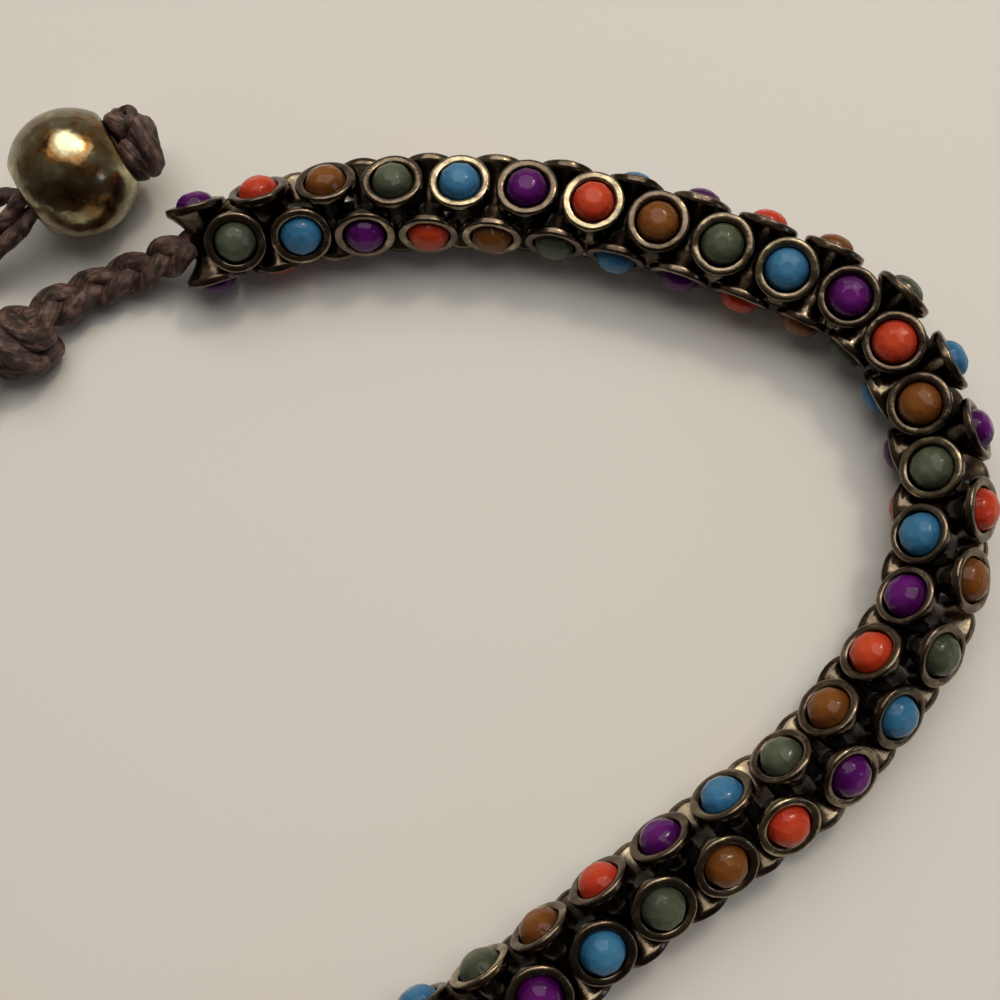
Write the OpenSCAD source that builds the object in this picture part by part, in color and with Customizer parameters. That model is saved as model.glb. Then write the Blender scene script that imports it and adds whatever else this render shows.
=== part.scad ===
// Beaded cord bracelet, lying open on a table. Its rope is a row of spool beads, cups at both ends, each
// a quarter turn from the last, with a stone in every cup. The cord goes on at both ends as a plaited tail
// and a knot, then as a loop at one end and as three strands with a ball button at the other.

/* [Spools] */
// Distance from one spool to the next along the cord
pitch = 2.24; // [2.22:0.01:2.28]
// Outer diameter of a cup's lip, where its neighbours leave it room
cup_d = 4.14; // [4.1:0.02:4.2]
// Length of a spool from lip to lip
spool_len = 5.5; // [5.4:0.05:5.6]
// Diameter of a spool's waist
waist_d = 1.8; // [1.7:0.02:1.9]
// Length of a spool's waist
waist_len = 1; // [0.8:0.05:1.2]
// Diameter of the hole across the waist
bore_d = 1.2; // [1.1:0.02:1.24]
// Thickness of a cup's rounded lip
lip_t = 0.54; // [0.5:0.01:0.55]
// Depth of a cup below its lip
cup_depth = 0.6; // [0.55:0.01:0.65]
// Height of a cup's straight wall under its lip
cup_wall = 0.25; // [0.2:0.01:0.3]

/* [Stones] */
// Diameter of a stone's girdle
stone_d = 2.86; // [2.8:0.02:2.9]
// Distance between the tables of a spool's two stones
stone_span = 7; // [6.9:0.05:7.1]
// Depth of a stone's girdle below the lip
girdle_drop = 0.25; // [0.2:0.01:0.3]
// Diameter of a stone's flat table
table_d = 1; // [0.9:0.05:1.3]

/* [Cords] */
// Diameter of the stringing cord inside the rope
string_d = 0.9; // [0.8:0.02:1]
// Width of a plaited tail
plait_d = 2.9; // [2.6:0.05:3]
// Diameter of one waxed strand
strand_d = 1.2; // [1:0.05:1.2]
// Diameter of the two tail knots
knot_d = 4.5; // [4.2:0.05:4.6]
// Length of the two tail knots
knot_len = 4.6; // [4.4:0.05:4.6]
// Diameter of the knot behind the button
end_knot_d = 5.2; // [5:0.05:5.4]
// Length of the knot behind the button
end_knot_len = 2.9; // [2.7:0.05:3.1]

/* [Button] */
// Diameter of the ball
ball_d = 8.8; // [8.7:0.05:9]
// Length of the ball between its two flats
ball_len = 7.1; // [6.9:0.05:7.1]
// Diameter of the hole through the ball
ball_bore_d = 2.9; // [2.85:0.05:3.1]

/* [Hidden] */
// The rope from its first spool on: x and y of its centre, and the outward lean of its even spools
rope_route = [
    [-12.0, 25.7, 61],
    [-5.0, 27.4, 35],
    [1.5, 28.0, 13],
    [7.8, 27.8, 8],
    [14.5, 26.8, -2],
    [24.8, 23.4, -16],
    [33.0, 18.8, -17],
    [36.5, 10.4, -29],
    [36.1, 4.4, -40],
    [34.4, -1.2, -44],
    [28.0, -9.4, -47],
    [22.1, -13.8, -56],
    [16.3, -17.9, -64],
    [9.8, -22.7, -70],
    [1.7, -27.4, -88],
    [-6.5, -30.9, -94],
    [-15.5, -32.0, -98],
    [-24.5, -29.3, -105],
    [-31.5, -23.3, -110],
    [-35.6, -15.0, -115],
    [-36.5, -6.0, -120],
    [-36.5, 0.0, -120]
];
// The loop's plaited tail, from the first spool: x, y and z of its centre, and its share of the full width
loop_plait_route = [
    [-13.15, 25.42, 3.3, 0.4],
    [-14.0, 25.2, 3.15, 0.7],
    [-15.0, 24.9, 2.7, 0.95],
    [-16.6, 24.4, 1.9, 1],
    [-18.2, 24.0, 1.5, 1],
    [-19.8, 23.4, 1.5, 1],
    [-21.3, 22.6, 1.6, 1],
    [-22.4, 22.0, 2.0, 0.9],
    [-23.2, 21.45, 2.25, 0.85],
    [-23.7, 21.0, 2.25, 0.8]
];
// The button's plaited tail, from the last spool, in the same columns
button_plait_route = [
    [-36.5, -4.6, 3.3, 0.4],
    [-36.6, -3.7, 3.1, 0.7],
    [-36.7, -2.7, 2.6, 0.95],
    [-36.9, -1.2, 1.8, 1],
    [-37.2, 0.4, 1.5, 1],
    [-37.6, 2.0, 1.5, 1],
    [-38.0, 3.6, 1.7, 1],
    [-38.2, 4.6, 2.1, 0.9],
    [-38.2, 5.3, 2.25, 0.85],
    [-38.2, 5.9, 2.25, 0.8]
];
// The loop, from its knot out and back: x, y and z of its centre
loop_route = [
    [-26.85, 17.3, 2.2],
    [-27.3, 16.85, 2.2],
    [-27.8, 15.9, 1.7],
    [-28.0, 14.3, 0.9],
    [-28.2, 12.4, 0.6],
    [-28.5, 10.2, 0.6],
    [-29.0, 8.0, 0.6],
    [-29.9, 6.0, 0.6],
    [-31.3, 4.6, 0.6],
    [-33.0, 4.6, 0.6],
    [-34.2, 6.0, 0.6],
    [-34.5, 8.2, 0.6],
    [-34.2, 10.6, 0.6],
    [-33.4, 12.9, 0.6],
    [-32.2, 15.0, 0.6],
    [-30.7, 16.7, 0.9],
    [-29.3, 17.6, 1.7],
    [-28.15, 17.95, 2.2],
    [-27.7, 18.35, 2.2]
];
// The three strands from the button tail's knot to the end knot: x, y and z of their middle, and how far
// they fan out, from 0 where they are bunched to 1 where they lie side by side
strand_route = [
    [-38.2, 10.65, 2.25, 0],
    [-38.2, 11.3, 2.25, 0],
    [-38.3, 12.7, 1.8, 0.3],
    [-38.4, 14.4, 1.1, 0.7],
    [-38.2, 16.2, 0.62, 1],
    [-37.5, 18.2, 0.62, 1],
    [-36.4, 20.1, 0.62, 1],
    [-35.0, 21.8, 0.62, 1],
    [-33.3, 23.3, 0.9, 1],
    [-31.4, 24.6, 1.5, 1],
    [-29.4, 25.65, 2.4, 0.9],
    [-27.4, 26.8, 3.4, 0.7],
    [-25.6, 27.9, 4.1, 0.3],
    [-24.25, 28.7, 4.4, 0],
    [-21.2, 30.55, 4.4, 0],
    [-18.2, 32.4, 4.4, 0]
];
// The middles of the ball and the knots, and the ways that their axes point, in degrees from +X
ball_at = [-21.2, 30.55, ball_d / 2];
ball_heading = 31.5;
loop_knot_at = [-25.5, 19.4, knot_d / 2];
loop_knot_heading = 222;
button_knot_at = [-38.2, 8.3, knot_d / 2];
button_knot_heading = 90;
end_knot_drop = 0.6;
end_knot_side = -0.25;
knot_flat_d = 3;
end_knot_flat_d = 4;

// The gap left between pieces that meet
seat_gap = 0.05;
// The least room between two lips in a row
lip_gap = 0.04;
// The strands' places when bunched: to the side and upwards
bunch_side = 0.66;
bunch_rise = 0.78;
fan_side = 0.72;

// The first spools are nodes of their own, and the rest are joined along their thread in stretches
single_count = 40;
stretch_starts = [40, 49, 58, 67];
spool_count = 75;
stone_colors = [
    ["stones_violet", "indigo"],
    ["stones_olive", "darkolivegreen"],
    ["stones_coral", "tomato"],
    ["stones_blue", "steelblue"],
    ["stones_caramel", "peru"]
];
brass = "darkkhaki";
cord_color = "saddlebrown";
round_steps = 48;
cord_sides = 8;

// A smooth curve through a table's rows, with the given number of steps between two rows
function row(t, i) =
    i < 0 ? 2 * t[0] - t[1] :
    i >= len(t) ? 2 * t[len(t) - 1] - t[len(t) - 2] : t[i];
function between(a, b, c, d, u) =
    0.5 * (2 * b + (c - a) * u + (2 * a - 5 * b + 4 * c - d) * u * u + (3 * b - a - 3 * c + d) * u * u * u);
function smooth(t, steps) = [
    for (i = [0 : len(t) - 2], k = [0 : steps - 1])
        between(row(t, i - 1), t[i], t[i + 1], row(t, i + 2), k / steps),
    t[len(t) - 1]
];
function xy(p) = [p.x, p.y];
function distances(p) = [
    for (i = 0, s = 0; i < len(p); i = i + 1, s = s + (i < len(p) ? norm(xy(p[i]) - xy(p[i - 1])) : 0)) s
];

// The rope's centre, heading and lean at a distance along it, from its first spool
rope_line = smooth(rope_route, 12);
rope_s = distances(rope_line);
rope_columns = [for (k = [0 : 2]) [for (i = [0 : len(rope_line) - 1]) [rope_s[i], rope_line[i][k]]]];
function rope_column(s, k) = lookup(s, rope_columns[k]);
function rope_at(s) = [rope_column(s, 0), rope_column(s, 1)];
function rope_heading(s) = let (d = rope_at(s + pitch / 4) - rope_at(s - pitch / 4)) atan2(d.y, d.x);

// How far a spool's lowest point is below its middle when its axis leans by an angle from upright
function reach(a) = max(
    stone_span / 2 * cos(a) + table_d / 2 * sin(a),
    (spool_len - lip_t) / 2 * cos(a) + (cup_d - lip_t) / 2 * sin(a) + lip_t / 2
);
// The rope's height where its even and odd spools both clear the table and one of them touches it
function rest_z(lean) = let (a = asin(abs(sin(lean)))) max(reach(a), reach(90 - a));
function rope_point(s) = [each rope_at(s), rest_z(rope_column(s, 2))];

// How far a spool is turned about the cord, the way its axis points, and the middle of one end's lip
function spool_turn(i) = (i % 2 == 0 ? 0 : 90) - rope_column(i * pitch, 2);
function spool_way(i) =
    let (h = rope_heading(i * pitch), a = spool_turn(i)) [sin(h) * sin(a), -cos(h) * sin(a), cos(a)];
function lip_middle(i, end) = rope_point(i * pitch) + end * spool_len / 2 * spool_way(i);

// A cup's width: the full one, or where the rope bends or twists, what the cups beside it in its row leave it
function lip_room(i, j, end) = norm(lip_middle(j, end) - lip_middle(i, end)) - lip_gap;
function cup_width(i, end) =
    min([cup_d, for (j = [i - 2, i + 2]) if (j >= 0 && j < spool_count) lip_room(i, j, end)]);

function node_number(i) = str(i < 10 ? "0" : "", i);
function spool_name(i) = str("spool_", node_number(i));
function stretch_end(k) = k < len(stretch_starts) - 1 ? stretch_starts[k + 1] - 1 : spool_count - 1;
function stretch_name(k) = str("spools_", node_number(stretch_starts[k]), "_to_", stretch_end(k));

// Swept cords

function unit(v) = v / norm(v);
function heading_at(p, i) = unit(p[min(i + 1, len(p) - 1)] - p[max(i - 1, 0)]);
function point(r) = [r.x, r.y, r[2]];
function ring(p, way, r, sides) =
    let (side = unit(cross([0, 0, 1], way)), up = cross(way, side))
    [for (k = [0 : sides - 1]) p + r * (cos(360 * k / sides) * side + sin(360 * k / sides) * up)];

module swept_cord(points, radii, sides) {
    last = len(points) - 1;
    polyhedron(
        points = [for (i = [0 : last]) each ring(points[i], heading_at(points, i), radii[i], sides)],
        faces = [
            [for (k = [0 : sides - 1]) k],
            for (i = [0 : last - 1], k = [0 : sides - 1]) [
                i * sides + k,
                (i + 1) * sides + k,
                (i + 1) * sides + (k + 1) % sides,
                i * sides + (k + 1) % sides
            ],
            [for (k = [sides - 1 : -1 : 0]) last * sides + k]
        ]
    );
}

module even_cord(points, d) {
    swept_cord(points, [for (p = points) d / 2], cord_sides);
}

// Spools and stones

function flare(u) = pow(u, 1.5);
inner_r = cup_d / 2 - lip_t;
seat_r = stone_d / 2 + 2 * seat_gap;
seat_z = spool_len / 2 - cup_depth;

// One cup from the middle of its seat over the lip and down to the waist: radius and height. A narrower cup
// has the same inside and a thinner lip.
function cup_outline(width) =
    let (
        lip = width / 2 - inner_r,
        lip_z = (spool_len - lip_t) / 2,
        wall_z = lip_z - cup_wall
    )
    [
        [0, seat_z],
        [seat_r, seat_z],
        for (a = [200 : -40 : 0]) [inner_r + lip / 2 * (1 + cos(a)), lip_z + lip_t / 2 * sin(a)],
        for (u = [1 : -0.25 : 0]) [
            waist_d / 2 + (width - waist_d) / 2 * flare(u),
            waist_len / 2 + (wall_z - waist_len / 2) * u
        ]
    ];

module spool_body(widths) {
    upper = cup_outline(widths[0]);
    lower = cup_outline(widths[1]);
    lower_back = [for (i = [len(lower) - 1 : -1 : 0]) [lower[i].x, -lower[i].y]];
    rotate_extrude($fn = round_steps) polygon(concat(upper, lower_back));
}

module drilled_spool(widths) {
    difference() {
        spool_body(widths);
        rotate([0, 90, 0]) cylinder(h = 2 * waist_d, d = bore_d, center = true, $fn = round_steps);
    }
}

// A stone from its flat back to its table, with two slopes between them
module stone() {
    girdle_z = spool_len / 2 - girdle_drop;
    table_z = stone_span / 2;
    rotate_extrude($fn = round_steps)
        polygon([
            [0, seat_z + seat_gap],
            [stone_d / 2, seat_z + seat_gap],
            [stone_d / 2, girdle_z],
            [stone_d * 0.42, girdle_z + (table_z - girdle_z) * 0.58],
            [table_d / 2, table_z],
            [0, table_z]
        ]);
}

// Puts a child that stands upright on the rope where a spool is, turned as that spool is
module on_rope(i) {
    translate(rope_point(i * pitch))
        rotate([0, 0, rope_heading(i * pitch)])
            rotate([spool_turn(i), 0, 0])
                children();
}

function cup_widths(i) = [cup_width(i, 1), cup_width(i, -1)];

module spool(i) {
    color(brass) on_rope(i) drilled_spool(cup_widths(i));
}

// A straight length of thread between two places along the rope
module thread(from_s, to_s) {
    a = rope_point(from_s);
    way = rope_point(to_s) - a;
    translate(a)
        rotate([0, acos(way.z / norm(way)), atan2(way.y, way.x)])
            cylinder(h = norm(way), d = string_d, $fn = round_steps);
}

module spool_stretch(k) {
    first = stretch_starts[k];
    last = stretch_end(k);
    color(brass) union() {
        for (i = [first : last]) on_rope(i) spool_body(cup_widths(i));
        for (i = [first : last - 1]) thread(i * pitch, (i + 1) * pitch);
        thread((first - 0.5) * pitch + seat_gap / 2, first * pitch);
        if (last < spool_count - 1) thread(last * pitch, (last + 0.5) * pitch - seat_gap / 2);
    }
}

// Every spool's two stones share a colour, and the colours come round in turn along the rope
module stones(c) {
    color(stone_colors[c][1])
        for (i = [c : len(stone_colors) : spool_count - 1], turn = [0, 180])
            on_rope(i) rotate([turn, 0, 0]) stone();
}

// Cords and knots

module stringing_cord() {
    places = [-0.4, for (i = [0 : single_count - 1]) i, single_count - 0.5 - seat_gap / pitch];
    color(cord_color) even_cord([for (i = places) i < 0 ? string_start() : rope_point(i * pitch)], string_d);
}

// The cord leaves the first spool straight along that spool's hole
function string_start() =
    let (a = rope_heading(0)) rope_point(0) - (waist_d / 2 + seat_gap) * [cos(a), sin(a), 0];

module plait(route) {
    color(cord_color)
        swept_cord([for (r = route) point(r)], [for (r = route) plait_d / 2 * r[3]], cord_sides);
}

// A knot as a barrel with flat ends, along its heading
module knot(at, heading, d, length, flat_d) {
    edge = acos(flat_d / d);
    side = [for (k = [-4 : 4]) [d / 2 * cos(edge * k / 4), length / 2 * sin(edge * k / 4) / sin(edge)]];
    color(cord_color)
        translate(at) rotate([0, 90, heading])
            rotate_extrude($fn = round_steps)
                polygon([[0, -length / 2], each side, [0, length / 2]]);
}

function strand_point(i, side) =
    let (
        r = strand_route[i],
        way = heading_at([for (q = strand_route) point(q)], i),
        left = unit([-way.y, way.x, 0]),
        out = bunch_side + fan_side * sin(90 * r[3]),
        rise = (1 - r[3]) * bunch_rise
    )
    point(r) + side * out * left + [0, 0, side == 0 ? rise : -rise / 2];

module button_strand(side) {
    color(cord_color) even_cord([for (i = [0 : len(strand_route) - 1]) strand_point(i, side)], strand_d);
}

// The button

module ball_button() {
    color("goldenrod")
        translate(ball_at) rotate([0, 90, ball_heading])
            difference() {
                intersection() {
                    sphere(d = ball_d, $fn = 2 * round_steps);
                    cylinder(h = ball_len, d = 2 * ball_d, center = true, $fn = round_steps);
                }
                cylinder(h = 2 * ball_len, d = ball_bore_d, center = true, $fn = round_steps);
            }
}

module end_knot() {
    away = ball_len / 2 + seat_gap + end_knot_len / 2;
    way = [cos(ball_heading), sin(ball_heading), 0];
    at = ball_at + away * way + end_knot_side * [-way.y, way.x, 0] - [0, 0, end_knot_drop];
    knot(at, ball_heading, end_knot_d, end_knot_len, end_knot_flat_d);
}

for (i = [0 : single_count - 1])
    spool(i);
for (k = [0 : len(stretch_starts) - 1])
    spool_stretch(k);
for (c = [0 : len(stone_colors) - 1])
    stones(c);
stringing_cord();
plait(loop_plait_route);  // loop_plait
knot(loop_knot_at, loop_knot_heading, knot_d, knot_len, knot_flat_d);  // loop_knot
color(cord_color) even_cord(loop_route, strand_d);  // loop_cord
plait(button_plait_route);  // button_plait
knot(button_knot_at, button_knot_heading, knot_d, knot_len, knot_flat_d);  // button_knot
button_strand(1);  // button_strand_a
button_strand(0);  // button_strand_b
button_strand(-1);  // button_strand_c
ball_button();
end_knot();
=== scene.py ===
import math

import bpy
import numpy as np
from mathutils import Matrix, Vector


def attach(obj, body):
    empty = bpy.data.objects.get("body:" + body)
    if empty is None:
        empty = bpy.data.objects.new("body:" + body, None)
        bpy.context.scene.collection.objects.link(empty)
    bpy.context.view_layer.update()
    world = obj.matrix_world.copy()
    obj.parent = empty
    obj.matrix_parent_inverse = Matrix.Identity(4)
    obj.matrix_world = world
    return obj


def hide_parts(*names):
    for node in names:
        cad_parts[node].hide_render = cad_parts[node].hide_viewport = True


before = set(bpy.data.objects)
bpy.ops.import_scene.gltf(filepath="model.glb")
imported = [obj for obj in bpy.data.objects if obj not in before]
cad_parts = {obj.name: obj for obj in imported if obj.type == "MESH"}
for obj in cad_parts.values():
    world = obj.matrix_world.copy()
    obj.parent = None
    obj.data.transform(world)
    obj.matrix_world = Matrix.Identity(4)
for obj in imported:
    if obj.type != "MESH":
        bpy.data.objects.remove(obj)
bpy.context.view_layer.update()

scene = bpy.context.scene
mm = 0.001
up = np.array([0.0, 0.0, 1.0])
chance = np.random.default_rng(11)  # every random draw comes from here, in order


def addObject(name, data):
    made = bpy.data.objects.new(name, data)
    scene.collection.objects.link(made)
    return made


# Camera: nearly overhead, leaning in a little from the wearer's side

cameraView = {"position": (14.0, -11.5, 91.5), "target": (8.0, 8.0, 0.0), "lens": 50, "sensor": 36}  # mm


def makeCamera():
    data = bpy.data.cameras.new("camera")
    data.lens, data.sensor_width = cameraView["lens"], cameraView["sensor"]
    data.clip_start, data.clip_end = 0.001, 10
    camera = addObject("camera", data)
    place, target = Vector(cameraView["position"]) * mm, Vector(cameraView["target"]) * mm
    forward = (target - place).normalized()
    right = forward.cross(Vector((0, 1, 0))).normalized()
    turned = Matrix((right, right.cross(forward), -forward)).transposed().to_4x4()
    camera.matrix_world = Matrix.Translation(place) @ turned
    scene.camera = camera


makeCamera()
print("camera placed")

# Lines and tubes


def smoothRows(rows, steps):
    # A smooth curve through the rows, with as many steps between two rows, the same as the CAD's. Each stretch
    # is a cubic, whose slope at a row is half the way from the row before to the row after.
    t = np.array(rows, float)
    t = np.vstack([2 * t[0] - t[1], t, 2 * t[-1] - t[-2]])
    u = (np.arange(steps) / steps)[:, None, None]
    a, b, c, d = t[:-3], t[1:-2], t[2:-1], t[3:]
    line = 0.5 * (2 * b + (c - a) * u + (2 * a - 5 * b + 4 * c - d) * u**2 + (3 * b - a - 3 * c + d) * u**3)
    return np.vstack([line.transpose(1, 0, 2).reshape(-1, t.shape[1]), t[-2:-1]])


def unit(v):
    return v / np.linalg.norm(v, axis=-1, keepdims=True)


def along(line):
    # distance along a line at each of its points
    return np.concatenate([[0], np.cumsum(np.linalg.norm(np.diff(line, axis=0), axis=1))])


def evenly(line, spacing):
    # the same line with its points a spacing apart
    s = along(line)
    at = np.linspace(0, s[-1], max(4, int(s[-1] / spacing) + 1))
    return np.column_stack([np.interp(at, s, line[:, k]) for k in range(line.shape[1])])


def carriedSides(line):
    # the line's own direction, a side direction carried along it with no twist, and the one square to both
    way = unit(np.gradient(line, axis=0))
    side = np.empty_like(line)
    start = np.cross(up, way[0])
    side[0] = unit(start if np.linalg.norm(start) > 0.1 else np.cross([1.0, 0, 0], way[0]))
    for k in range(1, len(line)):
        side[k] = unit(side[k - 1] - way[k] * (side[k - 1] @ way[k]))
    return way, side, np.cross(way, side)


def roundAngles(steps):
    # as many angles evenly round a circle
    return 2 * np.pi * np.arange(steps) / steps


def ringQuads(rows, steps, closed=False):
    # the quads between each ring of points and the next, and if closed between the last ring and the first
    i, k = np.arange(rows if closed else rows - 1)[:, None] * steps, np.arange(steps)[None, :]
    j, after = (i + steps) % (rows * steps), (k + 1) % steps
    return np.stack([i + k, j + k, j + after, i + after], -1).reshape(-1, 4)


def poleTris(rows, steps):
    # the triangles from the first and the last ring to two poles, whose points come after the rings' points
    k, last, pole = np.arange(steps), (rows - 1) * steps, rows * steps
    after = (k + 1) % steps
    return np.vstack([np.column_stack([np.full(steps, pole), k, after]),
                      np.column_stack([np.full(steps, pole + 1), last + after, last + k])])


def ridges(turn, s, rough, lump):
    # Fibre bundles and lumps on a cord: sines of whole turns round it that drift slowly along it, and slow
    # swellings along it. turn is the angle round the cord and s the distance along it. 2.2 and 1.5 are about
    # what the sines add up to.
    orders, drift = chance.integers(3, 12, 9), chance.uniform(-3.2, 3.2, 9)
    phase, size = chance.uniform(0, 2 * np.pi, 9), chance.uniform(0.4, 1, 9)
    waves = orders[:, None, None] * turn + drift[:, None, None] * s[:, None] + phase[:, None, None]
    streaks = np.einsum("j,jab->ab", size, np.sin(waves))
    pace, start = chance.uniform(0.7, 3.2, 4), chance.uniform(0, 2 * np.pi, 4)
    swells = np.sin(pace[:, None] * s + start[:, None]).sum(0)
    return 1 + rough * streaks / 2.2 + lump * swells[:, None] / 1.5


endBulge = 0.35  # how far a tube's closed end stands out, as a share of its radius


def tube(line, radius, sides, plies, groove, twist, flat=1.0, rough=0.0, lump=0.0):
    # A circle carried along a line. Its radius dips by the groove between plies, which turn by twist radians a
    # millimetre, flat squeezes it across, and rough and lump are the shares that its fibres and swellings have.
    # The lay is each point's place on the cord laid out straight.
    way, side, over = carriedSides(line)
    s = along(line)
    phi = roundAngles(sides)
    turn = phi[None, :] + twist * s[:, None]
    r = np.broadcast_to(radius, len(line))[:, None] * np.ones_like(turn)
    r = r * (1 - groove * (1 - np.abs(np.sin(plies * turn / 2)) ** 0.7))
    if rough or lump:
        r = r * ridges(turn, s, rough, lump)
    points = line[:, None] + r[..., None] * (
        np.cos(phi)[None, :, None] * side[:, None] + flat * np.sin(phi)[None, :, None] * over[:, None]
    )
    lay = np.stack([r * np.cos(turn), r * np.sin(turn), np.broadcast_to(s[:, None], turn.shape)], -1)
    points, lay = points.reshape(-1, 3), lay.reshape(-1, 3)
    ends = [line[0] - way[0] * r[0].mean() * endBulge, line[-1] + way[-1] * r[-1].mean() * endBulge]
    return {
        "points": np.vstack([points, ends]), "lay": np.vstack([lay, [[0, 0, s[0]], [0, 0, s[-1]]]]),
        "quads": ringQuads(len(line), sides)[:, ::-1], "tris": poleTris(len(line), sides)[:, ::-1],
    }


def joined(parts):
    # several parts as one, with their faces counted on from each other
    starts = np.cumsum([0] + [len(p["points"]) for p in parts[:-1]])
    made = {k: np.vstack([p[k] for p in parts]) for k in parts[0] if k not in ("quads", "tris")}
    for k in ("quads", "tris"):
        made[k] = np.vstack([p[k] + start for p, start in zip(parts, starts)])
    return made


def copiedFaces(faces, count, each):
    # the same faces for every copy, whose points come one copy after another
    return (faces[None] + (np.arange(count) * each)[:, None, None]).reshape(-1, faces.shape[1])


def makePiece(name, part, material, nodes, sharp=None, flatFaces=None):
    # a part as a mesh with its attributes and finish, and the CAD nodes whose place it takes
    mesh = bpy.data.meshes.new(name)
    mesh.from_pydata((part["points"] * mm).tolist(), [], part["quads"].tolist() + part["tris"].tolist())
    smooth = np.ones(len(mesh.polygons), bool)
    if flatFaces is not None:
        smooth &= ~flatFaces
    mesh.polygons.foreach_set("use_smooth", smooth)
    for key in part:
        if key == "lay":
            layer = mesh.attributes.new(key, "FLOAT_VECTOR", "POINT")
            layer.data.foreach_set("vector", (part[key] * mm).astype(np.float32).ravel())
        elif key in ("worn", "own", "rim"):
            layer = mesh.attributes.new(key, "FLOAT", "POINT")
            layer.data.foreach_set("value", part[key].astype(np.float32).ravel())
    mesh.validate()
    mesh.update()
    if sharp:
        mesh.set_sharp_from_angle(angle=math.radians(sharp))
    mesh.materials.append(material)
    piece = addObject(name, mesh)
    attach(piece, "root")
    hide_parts(*nodes)
    return piece


# Materials


def linear(hexColor):
    # sRGB hex to linear light
    c = np.array([int(hexColor[i : i + 2], 16) for i in (1, 3, 5)]) / 255
    return (*np.where(c <= 0.04045, c / 12.92, ((c + 0.055) / 1.055) ** 2.4), 1.0)


def addNode(material, kind, inputs=None, stops=None, **settings):
    # one node with its settings, its input values or links, and a ramp's stops
    tree = material.node_tree
    node = tree.nodes.new("ShaderNode" + kind)
    for key, value in settings.items():
        setattr(node, key, value)
    for key, value in (inputs or {}).items():
        if isinstance(value, bpy.types.NodeSocket):
            tree.links.new(value, node.inputs[key])
        else:
            node.inputs[key].default_value = value
    if stops:
        ramp = node.color_ramp.elements
        while len(ramp) < len(stops):
            ramp.new(0.5)
        for element, (position, color) in zip(ramp, stops):
            element.position, element.color = position, color
    return node


def startMaterial(name, **surface):
    material = bpy.data.materials.new(name)
    material.use_nodes = True
    shader = material.node_tree.nodes["Principled BSDF"]
    for key, value in surface.items():
        shader.inputs[key.replace("_", " ")].default_value = value
    return material, shader


def plug(material, socket, shader, key):
    material.node_tree.links.new(socket, shader.inputs[key])


def noiseScale(size):
    # the scale at which a noise's light and dark places are so many millimetres across
    return 0.5 / (size * mm)


waxedCord = {
    "fibre": 0.17,  # mm between fibres round the cord, coarser than cotton's so that they show
    "fibreRun": 0.5,  # mm that a fibre shows before it dips under
    "mottle": 0.42,  # mm across a darker place
    "bump": 0.2,  # mm
    "roughness": 0.58,
}


def makeWaxedCord(name, dark, body, pale, sheen=0.5):
    # Waxed cotton cord: brown fibres that run along each strand with a mottle of tone, painted darker where the
    # fibres' bump dips as shade between the fibres, and a dull wax sheen
    v = waxedCord
    material, shader = startMaterial(name, Metallic=0.0, IOR=1.45, Specular_IOR_Level=sheen)
    lay = addNode(material, "Attribute", attribute_name="lay")
    across, run = noiseScale(v["fibre"]), noiseScale(v["fibreRun"])
    grain = addNode(material, "Mapping", {"Vector": lay.outputs["Vector"], "Scale": (across, across, run)})
    fibres = addNode(material, "TexNoise", {"Vector": grain.outputs[0], "Scale": 1.0, "Detail": 4.0,
                     "Roughness": 0.68})
    place = addNode(material, "TexCoord")
    mottle = addNode(material, "TexNoise", {"Vector": place.outputs["Object"], "Scale": noiseScale(v["mottle"]),
                     "Detail": 4.0})
    both = addNode(material, "Math", {0: fibres.outputs["Fac"], 1: mottle.outputs["Fac"]}, operation="ADD")
    mixed = addNode(material, "Math", {0: both.outputs[0], 1: 0.5}, operation="MULTIPLY")
    # the fibre noise that sets the bump also darkens the colour where it dips, as painted shade between fibres; the
    # mottle is the cord's own tone
    shade = addNode(material, "ValToRGB", {"Fac": mixed.outputs[0]},
                    stops=[(0.4, linear(dark)), (0.5, linear(body)), (0.61, linear(pale))])
    plug(material, shade.outputs[0], shader, "Base Color")
    gloss = addNode(material, "MapRange", {"Value": fibres.outputs["Fac"], "From Min": 0.3, "From Max": 0.7,
                    "To Min": v["roughness"] + 0.12, "To Max": v["roughness"] - 0.1})
    plug(material, gloss.outputs[0], shader, "Roughness")
    bump = addNode(material, "Bump", {"Height": fibres.outputs["Fac"], "Distance": v["bump"] * mm, "Strength": 1.0})
    plug(material, bump.outputs[0], shader, "Normal")
    return material


cordFinish = makeWaxedCord("waxed cotton cord", "#1f1411", "#46312b", "#745a4f")
# The same waxed cord painted near black: painted shade, as the thread inside the rope lies in the spools' shadow
threadPaintedShadeFinish = makeWaxedCord("waxed cotton cord painted dark as shade inside the rope", "#050303", "#0d0907", "#17110d", sheen=0.08)

# Cords, which come first: the loop and the three strands are free cords, and lie where their CAD solids lie

cordSizes = {"strand": 1.2, "thread": 1.17}  # mm thick; the thread fills the spools' holes
# x, y and z of the loop's middle
loopRoute = [
    (-26.85, 17.3, 2.2), (-27.3, 16.85, 2.2), (-27.8, 15.9, 1.7), (-28.0, 14.3, 0.9), (-28.2, 12.4, 0.6),
    (-28.5, 10.2, 0.6), (-29.0, 8.0, 0.6), (-29.9, 6.0, 0.6), (-31.3, 4.6, 0.6), (-33.0, 4.6, 0.6),
    (-34.2, 6.0, 0.6), (-34.5, 8.2, 0.6), (-34.2, 10.6, 0.6), (-33.4, 12.9, 0.6), (-32.2, 15.0, 0.6),
    (-30.7, 16.7, 0.9), (-29.3, 17.6, 1.7), (-28.15, 17.95, 2.2), (-27.7, 18.35, 2.2),
]
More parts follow.
